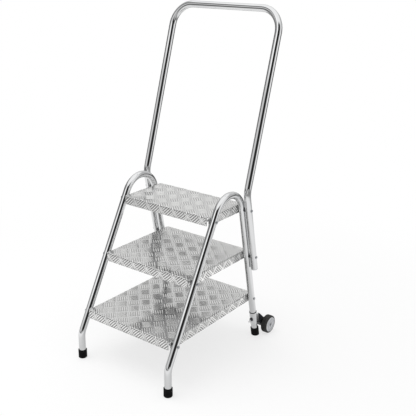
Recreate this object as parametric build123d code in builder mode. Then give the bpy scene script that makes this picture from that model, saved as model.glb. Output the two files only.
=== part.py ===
from build123d import *
import os
from math import cos, radians, sin, tan

# Mobile step stool: two bent tube side frames, three folded tread plates bolted between them,
# a tall tube handrail bolted outside the rear legs, and two wheels behind the rear feet that
# meet the floor when the stool is tipped back.
# Frame: +X to the stool's right, +Y to its back, +Z up, in millimetres. The origin is on the
# floor, under the middle of the bounding box.

# Tubes
tube_diameter = 25.0
tube_wall = 1.5

# Side frames
feet_depth = 529.6
front_lean = 28.4
rear_lean = 11.9
front_bend_height = 98.0
front_bend_radius = 60.0
arch_radius = 83.0

# Treads
tread_names = ("lower_tread", "middle_tread", "upper_tread")
first_rise = 186.0
rise = 190.0
tread_width = 382.0
tread_sheet = 3.0
tread_lip = 31.0
tread_bend_radius = 4.5
tread_notch = 6.5
front_overhang = 24.0
back_overhang = 22.0
bolt_drop = 15.0

# Handrail
handrail_height = 1238.0
handrail_lean = 16.8
handrail_bend_rise = 62.5
handrail_bend_radius = 80.0
handrail_corner_radius = 80.0
handrail_tail = 48.0
handrail_spacing = 3.0
spacer_diameter = 16.0
plug_rim = 2.5
plug_length = 14.0

# Rubber feet
foot_wall = 3.0
foot_height = 31.0
foot_base = 7.0
foot_groove_depth = 0.8
foot_groove_width = 1.6
foot_groove_pitch = 6.0
foot_edge_radius = 2.5

# Wheels
wheel_diameter = 70.0
wheel_width = 24.5
tyre_depth = 6.5
tyre_shoulder = 4.5
tyre_groove_count = 3
tyre_groove_pitch = 4.8
tyre_groove_width = 1.2
tyre_groove_depth = 1.0
wheel_setback = 42.8
wheel_floor_gap = 2.0
hub_diameter = 24.0
hub_recess_diameter = 17.0
hub_recess_depth = 6.0
rim_lip = 3.0
rim_dish_depth = 3.0
rim_web = 6.0
rib_count = 6
rib_width = 3.0
rib_height = 2.0
wheel_side_gap = 0.5
wheel_offset = 1.9

# Wheel sleeves and arms
sleeve_wall = 1.5
sleeve_length = 53.0
sleeve_height = 83.5
lug_depth = 6.0
lug_height = 35.0
arm_width = 20.0
arm_block_depth = 8.0
arm_block_drop = 33.0
arm_block_rise = 5.0
arm_bolt_height = 81.0
arm_grip = 5.0
arm_boss_diameter = 32.0

# Fasteners
bolt_diameter = 6.0
bolt_clearance = 0.5
bolt_head_diameter = 11.0
bolt_head_height = 4.0
bolt_head_edge = 1.2
bolt_tail = 1.5
nut_width = 10.0
nut_height = 6.0
washer_diameter = 12.0
washer_thickness = 1.6
hex_head_height = 4.0
flange_diameter = 15.0
flange_thickness = 1.6
clamp_tail = 12.0
axle_diameter = 8.0
axle_head_diameter = 13.0
axle_head_height = 5.0
axle_head_chamfer = 0.5
axle_socket_width = 5.0
axle_socket_depth = 2.5
axle_nut_width = 13.0
axle_nut_height = 6.5
axle_washer_diameter = 16.0

# Clearances
contact_gap = 0.1
slip_gap = 0.1
running_gap = 0.05
thread_gap = 0.05
head_pocket_gap = 1.0

# Derived sizes
tube_radius = tube_diameter / 2
frame_x = tread_width / 2 + contact_gap + tube_radius
handrail_x = frame_x + tube_diameter + handrail_spacing + 2 * contact_gap
handrail_top = handrail_height - tube_radius
foot_radius = tube_radius + slip_gap + foot_wall
bolt_hole_radius = (bolt_diameter + bolt_clearance) / 2
sleeve_radius = tube_radius + slip_gap + sleeve_wall
wheel_radius = wheel_diameter / 2
rim_radius = wheel_radius - tyre_depth
axle_z = wheel_radius + wheel_floor_gap
wheel_inner_x = frame_x + foot_radius + wheel_offset
tread_tops = [first_rise + rise * step for step in range(len(tread_names))]
bolt_heights = [top - bolt_drop for top in tread_tops]
handrail_end_height = bolt_heights[1] - handrail_tail
handrail_bend_height = bolt_heights[-1] + handrail_bend_rise

# Places along Y, with the front foot and the rearmost piece at equal distances from the origin
handrail_setback = (handrail_top - handrail_bend_height) * tan(radians(handrail_lean))
handrail_setback -= handrail_bend_height * tan(radians(rear_lean))
back_reach = max(wheel_setback + wheel_radius, handrail_setback + tube_radius)
front_foot_y = foot_radius - (foot_radius + feet_depth + back_reach) / 2
rear_foot_y = front_foot_y + feet_depth
axle_y = rear_foot_y + wheel_setback
handrail_top_y = rear_foot_y + handrail_setback


def front_leg_y(z):
    return front_foot_y + (z - front_bend_height) * tan(radians(front_lean))


def rear_leg_y(z):
    return rear_foot_y - z * tan(radians(rear_lean))


def rear_leg_plane(side):
    # Local Z runs up the rear leg from the floor, and local Y points out of the leg's back.
    lean = radians(rear_lean)
    return Plane((side * frame_x, rear_foot_y, 0), x_dir=(1, 0, 0), z_dir=(0, -sin(lean), cos(lean)))


front_bolt_points = [(front_leg_y(z), z) for z in bolt_heights]
rear_bolt_points = [(rear_leg_y(z), z) for z in bolt_heights]
bolt_points = front_bolt_points + rear_bolt_points
handrail_bolt_points = rear_bolt_points[1:]
short_bolt_points = front_bolt_points + rear_bolt_points[:1]
sides = (("left", -1), ("right", 1))


def outward_planes(x, points, x_dir=(0, 1, 0)):
    # Planes on both sides of the stool at x, their normals pointing away from its middle.
    return [
        Plane((side * x, y, z), x_dir=x_dir, z_dir=(side, 0, 0))
        for _, side in sides
        for y, z in points
    ]


def write(builder, name):
    builder.part.label = name
    export_step(builder.part, f"parts/{name}.step")


os.makedirs("parts", exist_ok=True)

# Side frames: front leg, arch and rear leg are one bent tube
rear_tube_end = foot_base / cos(radians(rear_lean)) + tube_radius * tan(radians(rear_lean))
front_slope, rear_slope = tan(radians(front_lean)), tan(radians(rear_lean))
arch_corner_z = (feet_depth + front_bend_height * front_slope) / (front_slope + rear_slope)

for side_name, side in sides:
    leg = rear_leg_plane(side)
    arm_bolt_axis = leg * Pos(0, 0, arm_bolt_height) * Rot(X=-90)
    with BuildPart() as side_frame:
        with BuildLine():
            FilletPolyline(
                (side * frame_x, front_foot_y, foot_base),
                (side * frame_x, front_foot_y, front_bend_height),
                (side * frame_x, rear_leg_y(arch_corner_z), arch_corner_z),
                leg.from_local_coords((0, 0, rear_tube_end)),
                radius=(front_bend_radius, arch_radius),
            )
        with BuildSketch(Plane((side * frame_x, front_foot_y, foot_base))):
            Circle(tube_radius)
            Circle(tube_radius - tube_wall, mode=Mode.SUBTRACT)
        sweep()
        with BuildSketch(Plane.YZ.offset(side * frame_x)):
            with Locations(*bolt_points):
                Circle(bolt_hole_radius)
        extrude(amount=tube_diameter, both=True, mode=Mode.SUBTRACT)
        with Locations(arm_bolt_axis):
            Cylinder(bolt_hole_radius, 2 * tube_diameter, mode=Mode.SUBTRACT)
    write(side_frame, f"{side_name}_side_frame")

# Treads: plate folded down on four edges, with a notch at each corner
for name, top in zip(tread_names, tread_tops):
    front = front_leg_y(top) - front_overhang
    depth = rear_leg_y(top) + back_overhang - front
    with BuildPart() as tread:
        with BuildSketch(Plane((0, front + depth / 2, top - tread_lip))):
            Rectangle(tread_width, depth)
        extrude(amount=tread_lip)
        fillet(tread.faces().sort_by(Axis.Z)[-1].edges(), tread_bend_radius)
        offset(amount=-tread_sheet, openings=tread.faces().sort_by(Axis.Z)[0])
        with BuildSketch(Plane((0, front + depth / 2, top))):
            with GridLocations(tread_width, depth, 2, 2):
                Rectangle(2 * tread_notch, 2 * tread_notch)
        extrude(amount=-tread_lip, mode=Mode.SUBTRACT)
        with BuildSketch(Plane.YZ):
            with Locations((front_leg_y(top - bolt_drop), top - bolt_drop)):
                Circle(bolt_hole_radius)
            with Locations((rear_leg_y(top - bolt_drop), top - bolt_drop)):
                Circle(bolt_hole_radius)
        extrude(amount=tread_width / 2, both=True, mode=Mode.SUBTRACT)
    write(tread, name)

# Handrail: two uprights that follow the rear legs, lean back above them and meet in a top bar
with BuildPart() as handrail:
    with BuildLine():
        FilletPolyline(
            (-handrail_x, rear_leg_y(handrail_end_height), handrail_end_height),
            (-handrail_x, rear_leg_y(handrail_bend_height), handrail_bend_height),
            (-handrail_x, handrail_top_y, handrail_top),
            (handrail_x, handrail_top_y, handrail_top),
            (handrail_x, rear_leg_y(handrail_bend_height), handrail_bend_height),
            (handrail_x, rear_leg_y(handrail_end_height), handrail_end_height),
            radius=(
                handrail_bend_radius,
                handrail_corner_radius,
                handrail_corner_radius,
                handrail_bend_radius,
            ),
        )
    with BuildSketch(
        Plane(
            (-handrail_x, rear_leg_y(handrail_end_height), handrail_end_height),
            x_dir=(1, 0, 0),
            z_dir=rear_leg_plane(-1).z_dir,
        )
    ):
        Circle(tube_radius)
        Circle(tube_radius - tube_wall, mode=Mode.SUBTRACT)
    sweep()
    with BuildSketch(Plane.YZ):
        with Locations(*handrail_bolt_points):
            Circle(bolt_hole_radius)
    extrude(amount=handrail_x + tube_diameter, both=True, mode=Mode.SUBTRACT)
write(handrail, "handrail")

# Handrail end plugs: a rim under the tube's end and a stem inside it
for side_name, side in sides:
    end = (side * handrail_x, rear_leg_y(handrail_end_height), handrail_end_height)
    with BuildPart(Plane(end, x_dir=(1, 0, 0), z_dir=rear_leg_plane(side).z_dir)) as plug:
        with Locations((0, 0, -contact_gap)):
            Cylinder(tube_radius, plug_rim, align=(Align.CENTER, Align.CENTER, Align.MAX))
            Cylinder(
                tube_radius - tube_wall - slip_gap,
                plug_length,
                align=(Align.CENTER, Align.CENTER, Align.MIN),
            )
    write(plug, f"{side_name}_handrail_plug")

# Handrail spacers: saddles between the handrail and the rear legs, along the bolts
handrail_pitch = handrail_x - frame_x
with BuildPart() as spacer:
    Cylinder(spacer_diameter / 2, handrail_pitch)
    with Locations((0, 0, -handrail_pitch / 2), (0, 0, handrail_pitch / 2)):
        Cylinder(
            tube_radius + contact_gap, 2 * spacer_diameter, rotation=(0, 90, 0), mode=Mode.SUBTRACT
        )
    Cylinder(bolt_hole_radius, handrail_pitch, mode=Mode.SUBTRACT)

with BuildPart() as handrail_spacers:
    with Locations(
        *outward_planes(
            frame_x + handrail_pitch / 2, handrail_bolt_points, x_dir=rear_leg_plane(1).z_dir
        )
    ):
        add(spacer.part)
write(handrail_spacers, "handrail_spacers")

# Rubber feet: grooved caps over the tube ends. Those of the rear legs are cut to the floor.
with BuildPart() as front_foot:
    with BuildSketch(Plane.XZ):
        Rectangle(foot_radius, foot_height, align=Align.MIN)
        with Locations((0, foot_base - contact_gap)):
            Rectangle(tube_radius + slip_gap, foot_height, align=Align.MIN, mode=Mode.SUBTRACT)
        with Locations((foot_radius, foot_height / 2)):
            with GridLocations(1, foot_groove_pitch, 1, 3):
                Rectangle(2 * foot_groove_depth, foot_groove_width, mode=Mode.SUBTRACT)
    revolve(axis=Axis.Z)
    fillet(front_foot.faces().sort_by(Axis.Z)[0].edges(), foot_edge_radius)

for side_name, side in sides:
    with BuildPart() as foot:
        with Locations((side * frame_x, front_foot_y, 0)):
            add(front_foot.part)
    write(foot, f"front_{side_name}_foot")

rear_foot_top = foot_height + foot_radius * tan(radians(rear_lean))
with BuildPart() as rear_foot:
    with BuildSketch(Plane.XZ):
        with Locations((0, -foot_radius)):
            Rectangle(foot_radius, rear_foot_top + foot_radius, align=Align.MIN)
        with Locations((0, rear_tube_end - contact_gap)):
            Rectangle(tube_radius + slip_gap, foot_height, align=Align.MIN, mode=Mode.SUBTRACT)
        with Locations((foot_radius, rear_foot_top - foot_height / 2)):
            with GridLocations(1, foot_groove_pitch, 1, 3):
                Rectangle(2 * foot_groove_depth, foot_groove_width, mode=Mode.SUBTRACT)
    revolve(axis=Axis.Z)

for side_name, side in sides:
    with BuildPart() as foot:
        with Locations(rear_leg_plane(side)):
            add(rear_foot.part)
        split(bisect_by=Plane.XY, keep=Keep.TOP)
        fillet(foot.faces().sort_by(Axis.Z)[0].edges(), foot_edge_radius)
    write(foot, f"rear_{side_name}_foot")

# Wheel sleeves: short tubes over the rear legs, with a lug behind that carries the wheel arm
lug_back = sleeve_radius + lug_depth
for side_name, side in sides:
    with BuildPart(rear_leg_plane(side)) as sleeve:
        with Locations((0, 0, sleeve_height - sleeve_length / 2)):
            Box(arm_width, lug_back, lug_height, align=(Align.CENTER, Align.MIN, Align.MIN))
        with Locations((0, 0, sleeve_height)):
            Cylinder(sleeve_radius, sleeve_length)
            Cylinder(tube_radius + slip_gap, sleeve_length, mode=Mode.SUBTRACT)
        with Locations((0, 0, arm_bolt_height)):
            Cylinder(bolt_hole_radius, 3 * lug_back, rotation=(90, 0, 0), mode=Mode.SUBTRACT)
    write(sleeve, f"{side_name}_wheel_sleeve")

# Wheel arms: a block behind the lug that runs down to the boss of the axle
leg = rear_leg_plane(1)
arm_seat = lug_back + contact_gap
head_pocket = arm_seat + arm_grip
head_pocket_radius = nut_width / 2 / cos(radians(30)) + head_pocket_gap
block_corners = [
    leg.from_local_coords((0, arm_seat + v, arm_bolt_height + w))
    for v, w in (
        (0, -arm_block_drop),
        (arm_block_depth, -arm_block_drop),
        (arm_block_depth, arm_block_rise),
        (0, arm_block_rise),
    )
]
with BuildPart() as right_wheel_arm:
    with BuildSketch(Plane.YZ.offset(frame_x - arm_width / 2)):
        with BuildLine():
            Polyline(*[(corner.Y, corner.Z) for corner in block_corners], close=True)
            CenterArc((axle_y, axle_z), arm_boss_diameter / 2, 0, 360)
        make_hull()
    extrude(amount=arm_width)
    with BuildSketch(Plane.YZ.offset(frame_x)):
        with Locations((axle_y, axle_z)):
            Circle(arm_boss_diameter / 2)
    extrude(amount=wheel_inner_x - wheel_side_gap - frame_x)
    with Locations(leg * Pos(0, 0, arm_bolt_height) * Rot(X=-90)):
        Cylinder(bolt_hole_radius, 4 * lug_back, mode=Mode.SUBTRACT)
        with Locations((0, 0, head_pocket)):
            Cylinder(
                head_pocket_radius,
                4 * lug_back,
                align=(Align.CENTER, Align.CENTER, Align.MIN),
                mode=Mode.SUBTRACT,
            )
    with BuildSketch(Plane.YZ.offset(frame_x)):
        with Locations((axle_y, axle_z)):
            Circle(axle_diameter / 2 + slip_gap)
    extrude(amount=2 * arm_width, both=True, mode=Mode.SUBTRACT)
write(right_wheel_arm, "right_wheel_arm")

with BuildPart() as left_wheel_arm:
    mirror(right_wheel_arm.part, about=Plane.YZ)
write(left_wheel_arm, "left_wheel_arm")

# Wheels: a dished rim with a recessed hub, and a tyre round it
hub_end = wheel_width - hub_recess_depth
web_end = wheel_width - rim_dish_depth
with BuildPart() as rim:
    with BuildSketch(Plane.XZ):
        Rectangle(rim_radius, wheel_width, align=Align.MIN)
        for low, high in ((0, web_end - rim_web), (web_end, wheel_width)):
            with Locations((hub_diameter / 2, low)):
                Rectangle(
                    rim_radius - rim_lip - hub_diameter / 2,
                    high - low,
                    align=Align.MIN,
                    mode=Mode.SUBTRACT,
                )
        Rectangle(
            axle_diameter / 2 + running_gap, wheel_width, align=Align.MIN, mode=Mode.SUBTRACT
        )
        with Locations((0, hub_end)):
            Rectangle(
                hub_recess_diameter / 2, hub_recess_depth, align=Align.MIN, mode=Mode.SUBTRACT
            )
    revolve(axis=Axis.Z)
    with BuildSketch(Plane.XY.offset(web_end)):
        with PolarLocations((hub_diameter / 2 + rim_radius - rim_lip) / 2, rib_count):
            Rectangle(rim_radius - rim_lip / 2 - hub_diameter / 2, rib_width)
    extrude(amount=rib_height)

with BuildPart() as tyre:
    with BuildSketch(Plane.XZ) as tyre_profile:
        with Locations((rim_radius + contact_gap, 0)):
            Rectangle(tyre_depth - contact_gap, wheel_width, align=Align.MIN)
        fillet(tyre_profile.vertices().group_by(Axis.X)[-1], tyre_shoulder)
        with Locations((wheel_radius, wheel_width / 2)):
            with GridLocations(1, tyre_groove_pitch, 1, tyre_groove_count):
                Rectangle(2 * tyre_groove_depth, tyre_groove_width, mode=Mode.SUBTRACT)
    revolve(axis=Axis.Z)

# Axle bolts: a socket head in the hub's recess and a shank through wheel and arm
arm_inner_x = frame_x - arm_width / 2
axle_washer_x = arm_inner_x - contact_gap - washer_thickness
axle_nut_x = axle_washer_x - contact_gap - axle_nut_height
axle_head_x = wheel_inner_x + hub_end + wheel_side_gap
with BuildPart() as axle_bolt:
    Cylinder(
        axle_head_diameter / 2, axle_head_height, align=(Align.CENTER, Align.CENTER, Align.MIN)
    )
    chamfer(axle_bolt.faces().sort_by(Axis.Z)[-1].edges(), axle_head_chamfer)
    Cylinder(
        axle_diameter / 2,
        axle_head_x - axle_nut_x + bolt_tail,
        align=(Align.CENTER, Align.CENTER, Align.MAX),
    )
    with BuildSketch(Plane.XY.offset(axle_head_height)):
        RegularPolygon(axle_socket_width / 2, 6, major_radius=False)
    extrude(amount=-axle_socket_depth, mode=Mode.SUBTRACT)

for side_name, side in sides:
    for shape, x, name in (
        (rim, wheel_inner_x, "wheel_rim"),
        (tyre, wheel_inner_x, "tyre"),
        (axle_bolt, axle_head_x, "axle_bolt"),
    ):
        with BuildPart() as placed:
            with Locations(Plane((side * x, axle_y, axle_z), x_dir=(0, 1, 0), z_dir=(side, 0, 0))):
                add(shape.part)
        write(placed, f"{side_name}_{name}")


def washer(hole_diameter, diameter):
    with BuildPart() as ring:
        with BuildSketch():
            Circle(diameter / 2)
            Circle((hole_diameter + bolt_clearance) / 2, mode=Mode.SUBTRACT)
        extrude(amount=washer_thickness)
    return ring.part


def nut(hole_diameter, width, height):
    with BuildPart() as hexagon:
        with BuildSketch():
            RegularPolygon(width / 2, 6, major_radius=False)
            Circle(hole_diameter / 2 + thread_gap, mode=Mode.SUBTRACT)
        extrude(amount=height)
    return hexagon.part


def dome_bolt(shank):
    # The head's seat is at the origin, and the shank runs down from it.
    radius, head_radius = bolt_diameter / 2, bolt_head_diameter / 2
    with BuildPart() as bolt:
        with BuildSketch(Plane.XZ):
            with BuildLine():
                Polyline(
                    (0, bolt_head_height),
                    (0, -shank),
                    (radius, -shank),
                    (radius, 0),
                    (head_radius, 0),
                    (head_radius, bolt_head_edge),
                )
                TangentArc((0, bolt_head_height), (head_radius, bolt_head_edge), tangent=(1, 0))
            make_face()
        revolve(axis=Axis.Z)
    return bolt.part


def group(name, shape, planes):
    with BuildPart() as pieces:
        with Locations(*planes):
            add(shape)
    write(pieces, name)


# Fasteners of the wheels
axle_points = [(axle_y, axle_z)]
group(
    "axle_washers",
    washer(axle_diameter, axle_washer_diameter),
    outward_planes(axle_washer_x, axle_points),
)
group(
    "axle_nuts",
    nut(axle_diameter, axle_nut_width, axle_nut_height),
    outward_planes(axle_nut_x, axle_points),
)

# Clamp bolts through arm, leg and sleeve: heads in the arms' pockets, flange nuts and bolt ends in front
clamp_seat = sleeve_radius + contact_gap
head_seat = head_pocket + contact_gap
with BuildPart() as clamp_bolt:
    with BuildSketch():
        RegularPolygon(nut_width / 2, 6, major_radius=False)
    extrude(amount=hex_head_height)
    Cylinder(
        bolt_diameter / 2,
        head_seat + clamp_seat + nut_height + clamp_tail,
        align=(Align.CENTER, Align.CENTER, Align.MAX),
    )

with BuildPart() as flange_nut:
    add(nut(bolt_diameter, nut_width, nut_height))
    with BuildSketch():
        Circle(flange_diameter / 2)
        Circle(bolt_diameter / 2 + thread_gap, mode=Mode.SUBTRACT)
    extrude(amount=flange_thickness)

clamp_axes = [rear_leg_plane(side) * Pos(0, 0, arm_bolt_height) * Rot(X=-90) for _, side in sides]
group("arm_bolts", clamp_bolt.part, [axis * Pos(0, 0, head_seat) for axis in clamp_axes])
group("arm_nuts", flange_nut.part, [axis * Pos(0, 0, -clamp_seat) * Rot(X=180) for axis in clamp_axes])

# Fasteners of the treads: heads outside the tubes, washers and nuts inside the tread lips
washer_x = tread_width / 2 - tread_sheet - contact_gap - washer_thickness
nut_x = washer_x - contact_gap - nut_height
tread_head_x = frame_x + tube_radius + contact_gap
handrail_head_x = handrail_x + tube_radius + contact_gap
group(
    "tread_bolts",
    dome_bolt(tread_head_x - nut_x + bolt_tail),
    outward_planes(tread_head_x, short_bolt_points),
)
group(
    "handrail_bolts",
    dome_bolt(handrail_head_x - nut_x + bolt_tail),
    outward_planes(handrail_head_x, handrail_bolt_points),
)
group("tread_washers", washer(bolt_diameter, washer_diameter), outward_planes(washer_x, bolt_points))
group("tread_nuts", nut(bolt_diameter, nut_width, nut_height), outward_planes(nut_x, bolt_points))
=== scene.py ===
import math
import bpy
from mathutils import Matrix, Vector


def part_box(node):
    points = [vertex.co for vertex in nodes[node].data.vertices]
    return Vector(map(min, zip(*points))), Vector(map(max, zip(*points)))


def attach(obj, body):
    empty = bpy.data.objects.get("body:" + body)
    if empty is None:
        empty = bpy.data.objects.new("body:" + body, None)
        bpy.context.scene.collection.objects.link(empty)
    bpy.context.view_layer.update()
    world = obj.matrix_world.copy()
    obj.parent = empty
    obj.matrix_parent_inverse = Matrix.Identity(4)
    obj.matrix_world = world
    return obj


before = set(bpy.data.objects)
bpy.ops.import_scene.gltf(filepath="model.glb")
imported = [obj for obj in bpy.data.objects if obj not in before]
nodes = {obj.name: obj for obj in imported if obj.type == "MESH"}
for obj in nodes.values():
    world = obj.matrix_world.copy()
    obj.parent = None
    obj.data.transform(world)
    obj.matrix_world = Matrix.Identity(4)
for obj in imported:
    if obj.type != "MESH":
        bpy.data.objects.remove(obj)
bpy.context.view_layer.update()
scene = bpy.context.scene
scene.view_settings.view_transform = "Standard"
print("frame loaded,", len(nodes), "nodes")


class Wire:  # a node socket that can take part in sums
    def __init__(self, tree, socket=None):
        self.tree = tree
        self.socket = socket

    def node(self, kind, settings=None, sockets=None, out=0):
        made = self.tree.nodes.new(kind)
        for name, value in (settings or {}).items():
            if name == "stops":  # a grey ramp
                ramp = made.color_ramp.elements
                while len(ramp) < len(value):
                    ramp.new(1.0)
                for stop, (place, shade) in zip(ramp, value):
                    stop.position = place
                    stop.color = (shade, shade, shade, 1)
            else:
                setattr(made, name, value)
        for name, value in (sockets or {}).items():
            for one in value if isinstance(value, list) else [value]:
                if isinstance(one, Wire):
                    self.tree.links.new(one.socket, made.inputs[name])
                else:
                    made.inputs[name].default_value = one
        return Wire(self.tree, made.outputs[out] if len(made.outputs) else None)

    def sum(self, operation, *values):
        return self.node("ShaderNodeMath", {"operation": operation}, dict(enumerate(values)))

    def __add__(self, other):
        return self.sum("ADD", self, other)

    def __radd__(self, other):
        return self.sum("ADD", other, self)

    def __sub__(self, other):
        return self.sum("SUBTRACT", self, other)

    def __rsub__(self, other):
        return self.sum("SUBTRACT", other, self)

    def __mul__(self, other):
        return self.sum("MULTIPLY", self, other)

    def __rmul__(self, other):
        return self.sum("MULTIPLY", other, self)

    def __truediv__(self, other):
        return self.sum("DIVIDE", self, other)

    def __rtruediv__(self, other):
        return self.sum("DIVIDE", other, self)

    def __pow__(self, other):
        return self.sum("POWER", self, other)

    def __neg__(self):
        return self.sum("MULTIPLY", self, -1.0)

    def __abs__(self):
        return self.sum("ABSOLUTE", self)

    def __gt__(self, other):
        return self.sum("GREATER_THAN", self, other)

    def __lt__(self, other):
        return self.sum("LESS_THAN", self, other)

    def sign(self):
        return self.sum("SIGN", self)

    def atLeast(self, other):
        return self.sum("MAXIMUM", self, other)

    def atMost(self, other):
        return self.sum("MINIMUM", self, other)

    def ease(self, low, high, start=0.0, end=1.0):  # smooth step from low to high
        return self.node(
            "ShaderNodeMapRange",
            {"interpolation_type": "SMOOTHSTEP"},
            {0: self, 1: low, 2: high, 3: start, 4: end},
        )

    def parts(self):
        made = self.tree.nodes.new("ShaderNodeSeparateXYZ")
        self.tree.links.new(self.socket, made.inputs[0])
        return [Wire(self.tree, socket) for socket in made.outputs]

    def mix(self, first, second):  # two colours, this wire as the share of the second
        # sockets 6 and 7 are the colours, and 2 the mixed one
        return self.node(
            "ShaderNodeMix",
            {"data_type": "RGBA"},
            {0: self, 6: asColour(first), 7: asColour(second)},
            out=2,
        )


def asColour(value):
    return value if isinstance(value, Wire) else (*value, 1)


def newMaterial(name):
    material = bpy.data.materials.new(name)
    material.use_nodes = True
    material.node_tree.nodes.clear()
    return material, Wire(material.node_tree)


def objectPlace(wire, scale=(1, 1, 1)):
    place = wire.node("ShaderNodeTexCoord", out="Object")
    return wire.node("ShaderNodeMapping", {}, {"Vector": place, "Scale": scale})


def noise(wire, place, look):
    return wire.node(
        "ShaderNodeTexNoise",
        {},
        {"Vector": place, "Scale": look["scale"], "Detail": look["detail"], "Roughness": look["rough"]},
    )


def patches(wire, place, look):  # noise with its soft edges drawn closer
    return noise(wire, place, look).ease(*look["edges"])


def finishMaterial(wire, fixed, varying, height=None, bump=None):
    sockets = {**fixed, **varying}
    if height is not None:
        sockets["Normal"] = wire.node("ShaderNodeBump", {}, {"Height": height, **bump})
    surface = wire.node("ShaderNodeBsdfPrincipled", {}, sockets)
    wire.node("ShaderNodeOutputMaterial", {}, {"Surface": surface})


chromeLook = {
    "tube": {"bright": (0.74, 0.745, 0.75), "dull": (0.69, 0.695, 0.70), "roughness": (0.02, 0.055)},
    "sleeve": {"bright": (0.80, 0.805, 0.81), "dull": (0.74, 0.745, 0.75), "roughness": (0.30, 0.42)},
    # painted shade: a dark band at the sleeve's upper end; the rear leg's foot along y and its lean in degrees, and
    # how far up the leg the sleeve ends
    "sleeveEndShade": {"dark": (0.03, 0.03, 0.032), "top": 0.110, "band": 0.0018, "legFoot": 0.2337, "legLean": 11.9},
    "cloud": {"scale": 9.0, "detail": 4.0, "rough": 0.5, "edges": (0.35, 0.7)},
    "dullShare": 0.6,
    "wipe": {"scale": 60.0, "detail": 2.0, "rough": 0.5},  # faint wipe marks along the tubes
    "wipeStretch": (1, 1, 0.15),
}


def sleeveEndShade(wire, end):  # painted shade round the sleeve's upper end, where the gap at the tube lies in shade, measured up the rear leg
    lean = math.radians(end["legLean"])
    _, y, z = objectPlace(wire).parts()
    along = z * math.cos(lean) - (y - end["legFoot"]) * math.sin(lean)
    return along > end["top"] - end["band"]


def makeChrome(name, look, end=None):
    material, wire = newMaterial(name)
    cloud = patches(wire, objectPlace(wire), chromeLook["cloud"])
    wipe = noise(wire, objectPlace(wire, chromeLook["wipeStretch"]), chromeLook["wipe"])
    low, high = look["roughness"]
    tone = (cloud * chromeLook["dullShare"]).mix(look["bright"], look["dull"])
    if end:
        # painted shade band at the sleeve's upper end
        tone = sleeveEndShade(wire, end).mix(tone, end["dark"])
    finishMaterial(
        wire,
        {"Metallic": 1.0},
        {"Base Color": tone, "Roughness": low + (high - low) * (cloud + wipe) / 2},
    )
    return material


treadNames = ("lower_tread", "middle_tread", "upper_tread")
plateLook = {
    "clean": (0.76, 0.76, 0.755),
    "grey": (0.68, 0.68, 0.675),
    "recess": (0.46, 0.46, 0.455),  # painted shade in the strips between the bars
    "lipGapShade": (0.22, 0.22, 0.217),  # darker painted shade between the bars on the lips
    "frontLip": (0.74, 0.74, 0.735),  # bare sheet on the front and rear lips
    # painted highlight: the side lips lighter than the rest of the sheet
    "sideLip": (0.95, 0.95, 0.94),
    "innerShade": (0.55, 0.55, 0.555),  # painted shade on the faces under a tread, which are also rougher
    # painted highlight: the bars lighter than the sheet, and lighter still on the lips
    "barHighlight": (0.89, 0.89, 0.88),
    "lipBarHighlight": (0.97, 0.97, 0.965),
    "barCloud": 0.4,  # share of the clean tone in the clouds on the bars
    "roughness": (0.03, 0.08),
    "barPolish": 0.79,  # the bars' least roughness as a share of the sheet's
    "innerDull": 3.0,  # in steps from the least to the most roughness
    "metallic": 0.86,  # the rest is the dull oxide on the sheet
    "cloud": {"scale": 14.0, "detail": 5.0, "rough": 0.6, "edges": (0.3, 0.75)},
    "cloudShare": 0.6,  # of the dullness, the rest is grain
    "grain": {"scale": 90.0, "detail": 3.0, "rough": 0.5},
    "grainStretch": (1, 14, 14),  # rolling lines along x
    "dents": {"scale": 55.0, "detail": 2.0, "rough": 0.5},
    "dentShare": 0.7,  # of the bump, the rest is grain
    "bump": {"Strength": 0.2, "Distance": 0.0006},
    "topSkin": 0.001,  # what lies less deep is the top
    "lipStart": 0.5,  # share of the bend past which a face is a lip's, the inner face reaches a third
}
treadBars = {
    # groups that lie the same way: their spacing along x and y, and one group's offset from the tread's middle
    "lower_tread": {"spacing": (0.0580, 0.0622), "shift": (-0.0090, -0.0096)},
    "middle_tread": {"spacing": (0.0611, 0.0578), "shift": (-0.0275, -0.0095)},
    "upper_tread": {"spacing": (0.0600, 0.0578), "shift": (0.0140, 0.0015)},
    "barsInGroup": 5,
    "barPitch": 0.0081,
    "barLength": 0.0350,
    "barWidth": 0.0043,
    "barHeight": 0.0011,
    "sink": 0.0004,  # how far a bar's underside lies in the sheet
    "bendRadius": 0.0045,
    "notch": 0.0065,
    "edge": 0.0015,  # bare strip along a cut edge
    "shortest": 0.0050,
    "legClearance": 0.019,  # no bars on the side lips where the tubes press
    "frontLeg": 0.0159,  # from a tread's front edge to where the front legs cross its lips
    "rearLeg": 0.0188,  # the same from the rear edge
    "margin": 0.08,  # sheet laid out beyond half a tread, for the lips
    "lattice": (7, 4, 2),  # points of a bar along, across and up
    "endPower": 5.0,  # how late a bar tapers to its ends
    "endWidth": 0.25,
    "crownPower": 4.0,
    "crownFall": 0.97,  # how much of the height the flanks lose
}


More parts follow.
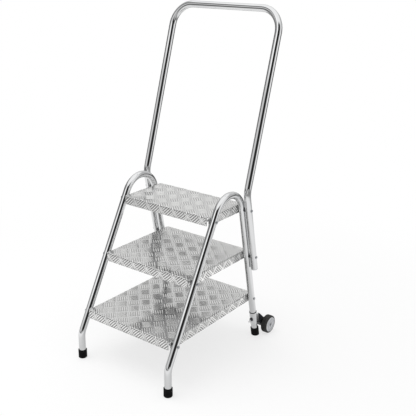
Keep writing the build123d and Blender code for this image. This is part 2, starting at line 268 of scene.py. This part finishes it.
# masks of a tread's sheet: the outer faces, the side lips, the front and rear lips, the strips between the bars
def sheetMasks(wire, place, nodeName):
    low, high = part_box(nodeName)
    pattern, bend, pitch = treadBars[nodeName], treadBars["bendRadius"], treadBars["barPitch"]
    x, y, z = place.parts()
    under = high.z - z
    unfolded, lips = [], []
    for along, middle, half in ((x, 0.0, high.x), (y, (low.y + high.y) / 2, (high.y - low.y) / 2)):
        offset = along - middle
        past = (abs(offset) - (half - bend)).atLeast(0.0) / bend
        lip = past > plateLook["lipStart"]
        lips.append(lip)
        arc = wire.sum("ARCSINE", past.atMost(1.0)) * bend + lip * (under - bend).atLeast(0.0)
        unfolded.append(offset.sign() * (abs(offset).atMost(half - bend) + arc))
    u, v = (
        (sheet - shift) / spacing
        for sheet, shift, spacing in zip(unfolded, pattern["shift"], pattern["spacing"])
    )
    first, second = u + v + 0.5, v - u + 0.5  # whole numbers at the edges of the groups' cells
    cell = sum(pattern["spacing"]) / 2 * math.sqrt(0.5)
    odd = abs(wire.sum("FLOORED_MODULO", wire.sum("FLOOR", first) + wire.sum("FLOOR", second), 2.0))
    inFirst, inSecond = (wire.sum("FRACT", way) - 0.5 for way in (first, second))
    across = (odd * inFirst + (1 - odd) * inSecond) * cell
    along = (odd * inSecond + (1 - odd) * inFirst) * cell
    stripes = 0.5 - 0.5 * wire.sum("COSINE", across * (math.tau / pitch))
    inside = (abs(across) < pitch * treadBars["barsInGroup"] / 2) * (abs(along) < treadBars["barLength"] / 2)
    outer = lips[0].atLeast(lips[1]).atLeast(under < plateLook["topSkin"])
    return outer, *lips, stripes * inside


def onLips(wire, place):  # the treads are one rise apart, and a lip hangs in the upper half of the rise below
    first, second = (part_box(name)[1].z for name in treadNames[:2])
    rises = (place.parts()[2] - first) / (second - first)
    return wire.sum("FRACT", rises) > 0.5


def makePlate(name, nodeName=None):  # rolled aluminium: a tread's sheet, or else the bars
    material, wire = newMaterial(name)
    place = objectPlace(wire)
    cloud = patches(wire, place, plateLook["cloud"])
    grain = noise(wire, objectPlace(wire, plateLook["grainStretch"]), plateLook["grain"])
    cloudShare, dentShare = plateLook["cloudShare"], plateLook["dentShare"]
    low, high = plateLook["roughness"]
    step = high - low
    dull = cloud * cloudShare + grain * (1 - cloudShare)
    if nodeName:
        outer, sideLip, frontLip, recess = sheetMasks(wire, place, nodeName)
        # painted shade in the strips between the bars, darker on the lips
        paintedGapShade = sideLip.atLeast(frontLip).mix(plateLook["recess"], plateLook["lipGapShade"])
        tone = cloud.mix(plateLook["clean"], plateLook["grey"])
        # painted highlight on the side lips
        tone = frontLip.mix(sideLip.mix(tone, plateLook["sideLip"]), plateLook["frontLip"])
        # painted shade on the faces under the tread, and in the strips between the bars
        tone = outer.mix(plateLook["innerShade"], recess.mix(tone, paintedGapShade))
        dull = dull + recess + plateLook["innerDull"] * (1 - outer)
    else:
        low = low * plateLook["barPolish"]
        # painted highlight on the bars, stronger on the lips
        tone = (cloud * plateLook["barCloud"]).mix(plateLook["barHighlight"], plateLook["clean"])
        tone = onLips(wire, place).mix(tone, plateLook["lipBarHighlight"])
    finishMaterial(
        wire,
        {"Metallic": plateLook["metallic"]},
        {"Base Color": tone, "Roughness": low + step * dull},
        noise(wire, place, plateLook["dents"]) * dentShare + grain * (1 - dentShare),
        plateLook["bump"],
    )
    return material


rubberLook = {
    "foot": {"black": (0.0025, 0.0025, 0.003), "dusty": (0.007, 0.007, 0.0075), "roughness": 0.60, "gloss": 0.12},
    "tyre": {"black": (0.020, 0.020, 0.0195), "dusty": (0.055, 0.054, 0.052), "roughness": 0.50, "gloss": 0.35},
    "dust": {"scale": 70.0, "detail": 5.0, "rough": 0.65, "edges": (0.45, 0.8)},
    "dustRoughness": 0.12,
    "pores": {"scale": 900.0, "detail": 2.0, "rough": 0.5},
    "bump": {"Strength": 0.15, "Distance": 0.0003},
}


def makeRubber(name, look):
    material, wire = newMaterial(name)
    place = objectPlace(wire)
    dust = patches(wire, place, rubberLook["dust"])
    finishMaterial(
        wire,
        {"Specular IOR Level": look["gloss"]},
        {
            "Base Color": dust.mix(look["black"], look["dusty"]),
            "Roughness": look["roughness"] + rubberLook["dustRoughness"] * dust,
        },
        noise(wire, place, rubberLook["pores"]),
        rubberLook["bump"],
    )
    return material


plasticLook = {
    "arm": {"base": (0.012, 0.013, 0.016), "pale": (0.028, 0.03, 0.036), "roughness": 0.42},
    "rim": {"base": (0.60, 0.61, 0.63), "pale": (0.66, 0.67, 0.69), "roughness": 0.34},
    "flow": {"scale": 25.0, "detail": 3.0, "rough": 0.5, "edges": (0.35, 0.7)},
    "flowRoughness": 0.08,
    "pebbleScale": 1400.0,
    "bump": {"Strength": 0.12, "Distance": 0.0002},
}


def makePlastic(name, look):
    material, wire = newMaterial(name)
    place = objectPlace(wire)
    flow = patches(wire, place, plasticLook["flow"])
    pebble = wire.node(
        "ShaderNodeTexVoronoi",
        {"feature": "SMOOTH_F1"},
        {"Vector": place, "Scale": plasticLook["pebbleScale"]},
    )
    finishMaterial(
        wire,
        {},
        {
            "Base Color": flow.mix(look["base"], look["pale"]),
            "Roughness": look["roughness"] + plasticLook["flowRoughness"] * flow,
        },
        pebble,
        plasticLook["bump"],
    )
    return material


zincLook = {
    "screws": {"bright": (0.50, 0.51, 0.53), "dull": (0.30, 0.31, 0.33), "roughness": (0.18, 0.36)},
    # painted highlight on the clamp bolts and painted shade on their nuts: lit and shaded copies of one zinc
    "clampBoltsLit": {"bright": (0.82, 0.82, 0.83), "dull": (0.68, 0.68, 0.69), "roughness": (0.12, 0.24)},
    "clampNutsShaded": {"bright": (0.16, 0.16, 0.17), "dull": (0.09, 0.09, 0.10), "roughness": (0.22, 0.36)},
    "spangle": {"scale": 160.0, "detail": 4.0, "rough": 0.6, "edges": (0.35, 0.7)},
}


def makeZinc(name, look):
    material, wire = newMaterial(name)
    spangle = patches(wire, objectPlace(wire), zincLook["spangle"])
    low, high = look["roughness"]
    finishMaterial(
        wire,
        {"Metallic": 1.0},
        {
            "Base Color": spangle.mix(look["bright"], look["dull"]),
            "Roughness": low + (high - low) * spangle,
        },
    )
    return material


chrome = makeChrome("chromePlate", chromeLook["tube"])
satinChrome = makeChrome("satinChrome", chromeLook["sleeve"], chromeLook["sleeveEndShade"])
plates = {name: makePlate(name.split("_")[0] + "TreadPlate", name) for name in treadNames}
bars = makePlate("treadBars")
footRubber = makeRubber("footRubber", rubberLook["foot"])
tyreRubber = makeRubber("tyreRubber", rubberLook["tyre"])
armPlastic = makePlastic("armPlastic", plasticLook["arm"])
rimPlastic = makePlastic("rimPlastic", plasticLook["rim"])
zinc = makeZinc("zincSteel", zincLook["screws"])
# lit and shaded copies of the clamp's zinc
litClampZinc = makeZinc("clampBoltLitZinc", zincLook["clampBoltsLit"])
shadedNutZinc = makeZinc("clampNutShadedZinc", zincLook["clampNutsShaded"])
finishOf = {
    "chrome_tube": chrome,
    "foot_rubber": footRubber,
    "tyre_rubber": tyreRubber,
    "black_plastic": armPlastic,
    "grey_plastic": rimPlastic,
    "zinc_steel": zinc,
}
ownFinish = {
    **plates,
    "left_wheel_sleeve": satinChrome,
    "right_wheel_sleeve": satinChrome,
    "arm_bolts": litClampZinc,
    "arm_nuts": shadedNutZinc,
}
for node in nodes.values():
    for slot in node.material_slots:
        slot.material = ownFinish.get(node.name) or finishOf[slot.material.name.split(".")[0]]
print("materials on", len(nodes), "nodes")


def treadBarTree():
    tree = bpy.data.node_groups.new("treadBarTree", "GeometryNodeTree")
    inputs = {
        "NodeSocketFloat": (
            "Width", "Depth", "Lip", "Bend radius", "Notch", "Edge", "Spacing x", "Spacing y", "Shift x", "Shift y",
            "Bar pitch", "Bar length", "Bar width", "Bar height", "Sink", "Shortest", "Front leg", "Rear leg",
            "Leg clearance",
        ),
        "NodeSocketInt": ("Bars in group", "Columns", "Rows"),
        "NodeSocketVector": ("Centre",),
        "NodeSocketMaterial": ("Material",),
    }
    for kind, names in inputs.items():
        for name in names:
            tree.interface.new_socket(name, in_out="INPUT", socket_type=kind)
    tree.interface.new_socket("Geometry", in_out="OUTPUT", socket_type="NodeSocketGeometry")
    entry = tree.nodes.new("NodeGroupInput")
    given = {socket.name: Wire(tree, socket) for socket in entry.outputs if socket.name}
    wire = Wire(tree)
    root = math.sqrt(0.5)  # a diagonal's share along x and y
    width, depth, bend = given["Width"], given["Depth"], given["Bend radius"]
    length, edge = given["Bar length"], given["Edge"]
    flatX, flatY = width / 2 - bend, depth / 2 - bend  # where the bends start
    drop = bend * (math.pi / 2 - 1) + given["Lip"]  # sheet beyond a bend's start
    reachX, reachY = flatX + drop - edge, flatY + drop - edge
    notchX, notchY = width / 2 - given["Notch"] - edge, depth / 2 - given["Notch"] - edge

    def position():
        return wire.node("GeometryNodeInputPosition").parts()

    def vector(x, y, z):
        return wire.node("ShaderNodeCombineXYZ", {}, {0: x, 1: y, 2: z})

    def keep(mesh, name, value):
        return wire.node(
            "GeometryNodeStoreNamedAttribute",
            {"data_type": "FLOAT", "domain": "POINT"},
            {"Geometry": mesh, "Name": name, "Value": value},
        )

    def kept(name):
        return wire.node("GeometryNodeInputNamedAttribute", {"data_type": "FLOAT"}, {"Name": name})

    def choose(share, yes, no):
        return share * yes + (1 - share) * no

    # one bar along x: a closed lattice box pulled into a lens
    pointsX, pointsY, pointsZ = treadBars["lattice"]
    bar = wire.node(
        "GeometryNodeMeshCube",
        {},
        {
            "Size": vector(length, given["Bar width"], 1.0),
            "Vertices X": pointsX, "Vertices Y": pointsY, "Vertices Z": pointsZ,
        },
    )
    x, y, z = position()
    along = abs(x * 2 / length)
    endWidth = treadBars["endWidth"]
    taper = (1 - along ** treadBars["endPower"]).atLeast(0.0) ** 0.5 * (1 - endWidth) + endWidth
    across = y.sign() * abs(y * 2 / given["Bar width"]) ** 0.5  # a broad top
    crown = given["Bar height"] * taper * (1 - across ** treadBars["crownPower"] * treadBars["crownFall"])
    lens = vector(x, across * taper * given["Bar width"] / 2, choose(z > 0.0, crown, -given["Sink"]))
    bar = wire.node("GeometryNodeSetPosition", {}, {"Geometry": bar, "Position": lens})

    # two grids of groups, turned to either side, the second half a spacing off the first
    laid = []
    for turn, more in ((1, 0), (-1, 1)):
        columns, rows = given["Columns"] + more, given["Rows"] + more
        grid = wire.node(
            "GeometryNodeMeshGrid",
            {},
            {
                "Size X": given["Spacing x"] * (columns - 1), "Size Y": given["Spacing y"] * (rows - 1),
                "Vertices X": columns, "Vertices Y": rows,
            },
        )
        step = given["Bar pitch"] * root
        half = (given["Bars in group"] - 1) / 2
        row = wire.node(
            "GeometryNodeMeshLine",
            {},
            {
                "Count": given["Bars in group"],
                "Start Location": vector(step * half * turn, -(step * half), 0.0),
                "Offset": vector(-(step * turn), step, 0.0),
            },
        )
        points = wire.node("GeometryNodeInstanceOnPoints", {}, {"Points": grid, "Instance": row})
        points = wire.node("GeometryNodeRealizeInstances", {}, {"Geometry": points})
        shift = vector(given["Shift x"], given["Shift y"], 0.0)
        points = wire.node("GeometryNodeSetPosition", {}, {"Geometry": points, "Offset": shift})
        # cut each bar back to the unfolded sheet
        u, v, _ = position()
        onSide = abs(u) > notchX
        nearEnd = abs(v) + length * root / 2 > notchY
        limitX = choose((1 - onSide) * nearEnd, notchX, reachX)
        limitY = choose(onSide, notchY, reachY)
        first = (-(limitX + u) / root).atLeast(-(limitY + v * turn) / root).atLeast(-(length / 2))
        last = ((limitX - u) / root).atMost((limitY - v * turn) / root).atMost(length / 2)
        points = keep(points, "share", (last - first) / length)
        points = keep(points, "slide", (last + first) / 2)
        byLeg = (abs(v - given["Front leg"]) < given["Leg clearance"]).atLeast(
            abs(v - given["Rear leg"]) < given["Leg clearance"]
        )
        underTube = byLeg * (abs(u) + length * root / 2 > width / 2 - bend / 2)
        tooShort = last - first < given["Shortest"]
        points = wire.node(
            "GeometryNodeDeleteGeometry",
            {"domain": "POINT"},
            {"Geometry": points, "Selection": underTube.atLeast(tooShort)},
        )
        slide = kept("slide") * root
        moved = vector(slide, slide * turn, 0.0)
        points = wire.node("GeometryNodeSetPosition", {}, {"Geometry": points, "Offset": moved})
        laid.append(
            wire.node(
                "GeometryNodeInstanceOnPoints",
                {},
                {
                    "Points": points, "Instance": bar, "Rotation": (0, 0, turn * math.pi / 4),
                    "Scale": vector(kept("share"), 1.0, 1.0),
                },
            )
        )
    sheet = wire.node("GeometryNodeJoinGeometry", {}, {"Geometry": laid})
    sheet = wire.node("GeometryNodeRealizeInstances", {}, {"Geometry": sheet})
    # fold the sheet over the bends
    u, v, high = position()
    folded, lowered = [], high
    for place, flat in ((u, flatX), (v, flatY)):
        past = (abs(place) - flat).atLeast(0.0)
        angle = (past / bend).atMost(math.pi / 2)
        beyond = (past - bend * (math.pi / 2)).atLeast(0.0)
        radius = bend + high
        folded.append(place.sign() * (abs(place).atMost(flat) + radius * wire.sum("SINE", angle)))
        lowered = lowered + radius * (wire.sum("COSINE", angle) - 1) - beyond
    sheet = wire.node("GeometryNodeSetPosition", {}, {"Geometry": sheet, "Position": vector(*folded, lowered)})
    sheet = wire.node("GeometryNodeSetPosition", {}, {"Geometry": sheet, "Offset": given["Centre"]})
    sheet = wire.node("GeometryNodeSetShadeSmooth", {}, {"Geometry": sheet})
    sheet = wire.node("GeometryNodeSetMaterial", {}, {"Geometry": sheet, "Material": given["Material"]})
    wire.node("NodeGroupOutput", {}, {"Geometry": sheet})
    return tree


def makeByNodes(name, tree, values):
    holder = bpy.data.objects.new(name + "Holder", bpy.data.meshes.new(name + "Holder"))
    scene.collection.objects.link(holder)
    modifier = holder.modifiers.new("shape", "NODES")
    modifier.node_group = tree
    for socket in tree.interface.items_tree:
        if socket.in_out == "INPUT":
            modifier[socket.identifier] = values[socket.name]
    bpy.context.view_layer.update()
    depsgraph = bpy.context.evaluated_depsgraph_get()
    mesh = bpy.data.meshes.new_from_object(holder.evaluated_get(depsgraph))
    mesh.materials.clear()
    mesh.materials.append(values["Material"])
    mesh.polygons.foreach_set("material_index", [0] * len(mesh.polygons))
    bpy.data.objects.remove(holder)
    for attribute in [a.name for a in mesh.attributes if a.name in ("share", "slide")]:
        mesh.attributes.remove(mesh.attributes[attribute])
    piece = bpy.data.objects.new(name, mesh)
    scene.collection.objects.link(piece)
    return piece


barTree = treadBarTree()
for nodeName in treadNames:
    low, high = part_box(nodeName)
    width, depth = high.x - low.x, high.y - low.y
    spacing, shift = treadBars[nodeName]["spacing"], treadBars[nodeName]["shift"]
    piece = makeByNodes(
        nodeName.split("_")[0] + "TreadBars",
        barTree,
        {
            "Width": width, "Depth": depth, "Lip": high.z - low.z,
            "Bend radius": treadBars["bendRadius"], "Notch": treadBars["notch"], "Edge": treadBars["edge"],
            "Spacing x": spacing[0], "Spacing y": spacing[1], "Shift x": shift[0], "Shift y": shift[1],
            "Bar pitch": treadBars["barPitch"], "Bar length": treadBars["barLength"],
            "Bar width": treadBars["barWidth"], "Bar height": treadBars["barHeight"], "Sink": treadBars["sink"],
            "Shortest": treadBars["shortest"], "Front leg": treadBars["frontLeg"] - depth / 2,
            "Rear leg": depth / 2 - treadBars["rearLeg"],
            "Leg clearance": treadBars["legClearance"], "Bars in group": treadBars["barsInGroup"],
            "Columns": 2 * math.ceil((width / 2 + treadBars["margin"]) / spacing[0]) + 1,
            "Rows": 2 * math.ceil((depth / 2 + treadBars["margin"]) / spacing[1]) + 1,
            "Centre": (0.0, (low.y + high.y) / 2, high.z), "Material": bars,
        },
    )
    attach(piece, "frame")
    print(piece.name, "faces", len(piece.data.polygons))


cameraView = {
    "place": (1.53597, -1.86826, 1.39567),
    "azimuth": 36.745,  # from the front towards the right side, in degrees
    "elevation": 19.44,
    "roll": 0.615,
    "fieldOfView": 32.364,
}


def addCamera(view):
    azimuth, elevation, roll = (math.radians(view[name]) for name in ("azimuth", "elevation", "roll"))
    level = math.cos(elevation)
    back = Vector((math.sin(azimuth) * level, -math.cos(azimuth) * level, math.sin(elevation)))
    right = (-back).cross(Vector((0, 0, 1))).normalized()
    up = right.cross(-back)
    lens = bpy.data.cameras.new("photoCamera")
    lens.angle = math.radians(view["fieldOfView"])
    camera = bpy.data.objects.new("photoCamera", lens)
    turn = Matrix((right, up, back)).transposed().to_4x4()
    camera.matrix_world = Matrix.Translation(view["place"]) @ turn @ Matrix.Rotation(roll, 4, "Z")
    scene.collection.objects.link(camera)
    scene.camera = camera


addCamera(cameraView)

stage = {
    "floorRadius": 3.6,
    "floorSides": 96,
    "floorColour": (0.97, 0.97, 0.97),
    # where the floor passes into the white backdrop, and its share of white before and after
    "floorFade": (0.7, 1.8, 0.68, 1.0),
    # levels of the floor in mirrors: start, end, level before and after, by the radius near the object and far off,
    # and along y behind the object
    "floorNear": (0.35, 0.70, 0.66, 1.0),
    "floorFar": (1.25, 2.3, 1.0, 0.34),
    "floorBehind": (0.40, 0.75, 1.0, 0.95),
    "skyLevel": 0.76,  # what the world adds to matt surfaces
    "darkEnd": 36.7,  # azimuth of the unlit end of the studio, behind the camera
    # brightness of the studio walls by the turn from the dark end, in degrees, from the floor up
    "skirting": [
        (-180, 0.14), (-140, 0.14), (-125, 0.34), (-100, 0.34), (-85, 0.12), (-60, 0.14), (-45, 0.30), (-32, 0.30),
        (-24, 0.60), (14, 0.60), (26, 0.12), (38, 0.04), (44, 0.20), (50, 0.45), (60, 0.95), (68, 1.15),
        (84, 1.10), (94, 0.40), (100, 0.16), (180, 0.14),
    ],
    "walls": [
        (-180, 0.77), (-150, 0.73), (-138, 0.16), (-102, 0.16), (-85, 0.64), (-70, 0.82), (-55, 0.72), (-43, 0.90),
        (-35, 0.55), (-28, 0.28), (-21, 0.10), (-12, 0.02), (33, 0.02), (38, 0.12), (43, 0.56), (48, 0.70),
        (58, 0.95), (72, 1.02), (88, 0.90), (98, 0.56), (135, 0.58), (152, 0.73), (180, 0.77),
    ],
    "upperWalls": [
        (-180, 0.82), (-150, 0.78), (-138, 0.34), (-110, 0.40), (-95, 0.36), (-82, 0.18), (-70, 0.22), (-57, 1.35),
        (-43, 1.50), (-31, 0.90), (-25, 0.52), (-19, 0.10), (-12, 0.02), (33, 0.02), (39, 0.15), (47, 0.60),
        (58, 0.95), (72, 1.02), (88, 0.90), (98, 0.60), (135, 0.60), (152, 0.80), (180, 0.82),
    ],
    "ceiling": [(-180, 1.15), (180, 1.15)],
    "skirtingTop": (0.03, 0.10),  # sine of the elevation
    "wallTop": (0.345, 0.395),
    "ceilingFoot": (0.64, 0.78),
    "overhead": {"power": 36.0, "size": 2.6, "place": (-0.7, -0.6, 3.1), "aim": (0.0, 0.0, 0.4)},
}


def lightPaths(wire):  # what the camera sees directly, and what it sees in mirrors
    path = wire.tree.nodes.new("ShaderNodeLightPath")
    camera, glossy, through = (
        Wire(wire.tree, path.outputs[name]) for name in ("Is Camera Ray", "Is Glossy Ray", "Is Transmission Ray")
    )
    return camera, glossy.atLeast(through)


def addFloor():
    radius, sides = stage["floorRadius"], stage["floorSides"]
    turns = [math.tau * step / sides for step in range(sides)]
    ring = [(radius * math.cos(turn), radius * math.sin(turn), 0) for turn in turns]
    mesh = bpy.data.meshes.new("studioFloor")
    mesh.from_pydata(ring, [], [list(range(sides))])
    floor = bpy.data.objects.new("studioFloor", mesh)
    scene.collection.objects.link(floor)
    material, wire = newMaterial("studioFloor")
    x, y, _ = objectPlace(wire).parts()
    out = (x * x + y * y) ** 0.5
    camera, mirror = lightPaths(wire)
    dim = out.ease(*stage["floorNear"]) * out.ease(*stage["floorFar"]) * y.ease(*stage["floorBehind"])
    dimGrey = wire.node("ShaderNodeCombineColor", {}, {0: dim, 1: dim, 2: dim})
    matt = wire.node("ShaderNodeBsdfDiffuse", {}, {"Color": (*stage["floorColour"], 1)})
    white = wire.node("ShaderNodeEmission", {}, {"Color": mirror.mix((1, 1, 1), dimGrey), "Strength": 1.0})
    share = out.ease(*stage["floorFade"]) * camera.atLeast(mirror)
    surface = wire.node("ShaderNodeMixShader", {}, {0: share, 1: matt, 2: white})
    wire.node("ShaderNodeOutputMaterial", {}, {"Surface": surface})
    mesh.materials.append(material)


def addWorld():
    world = bpy.data.worlds.new("studio")
    scene.world = world
    world.use_nodes = True
    world.node_tree.nodes.clear()
    wire = Wire(world.node_tree)
    x, y, z = wire.node("ShaderNodeTexCoord", out="Generated").parts()
    aim = math.radians(stage["darkEnd"])
    side = x * math.cos(aim) + y * math.sin(aim)
    facing = x * math.sin(aim) - y * math.cos(aim)
    turn = wire.sum("ARCTAN2", side, facing) / math.tau + 0.5

    def around(levels):  # the ramp holds half levels
        stops = [(angle / 360 + 0.5, level / 2) for angle, level in levels]
        tone = wire.node("ShaderNodeValToRGB", {"stops": stops}, {0: turn})
        return wire.node("ShaderNodeRGBToBW", {}, {0: tone}) * 2

    level = around(stage["skirting"])
    for edge, above in (("skirtingTop", "walls"), ("wallTop", "upperWalls"), ("ceilingFoot", "ceiling")):
        share = z.ease(*stage[edge])
        level = level * (1 - share) + around(stage[above]) * share
    camera, mirror = lightPaths(wire)
    strength = camera + (1 - camera) * (mirror * level + (1 - mirror) * stage["skyLevel"])
    surface = wire.node("ShaderNodeBackground", {}, {"Color": (1, 1, 1, 1), "Strength": strength})
    wire.node("ShaderNodeOutputWorld", {}, {"Surface": surface})


def addLamp(name, look):
    lamp = bpy.data.lights.new(name, "AREA")
    lamp.shape = "DISK"
    lamp.energy = look["power"]
    lamp.size = look["size"]
    holder = bpy.data.objects.new(name, lamp)
    holder.location = look["place"]
    holder.visible_glossy = False  # mirrors show the ceiling instead
    aim = Vector(look["aim"]) - Vector(look["place"])
    holder.rotation_euler = aim.to_track_quat("-Z", "Y").to_euler()
    scene.collection.objects.link(holder)


addFloor()
addWorld()
addLamp("overheadSoftbox", stage["overhead"])
print("stage, lamp and camera set")
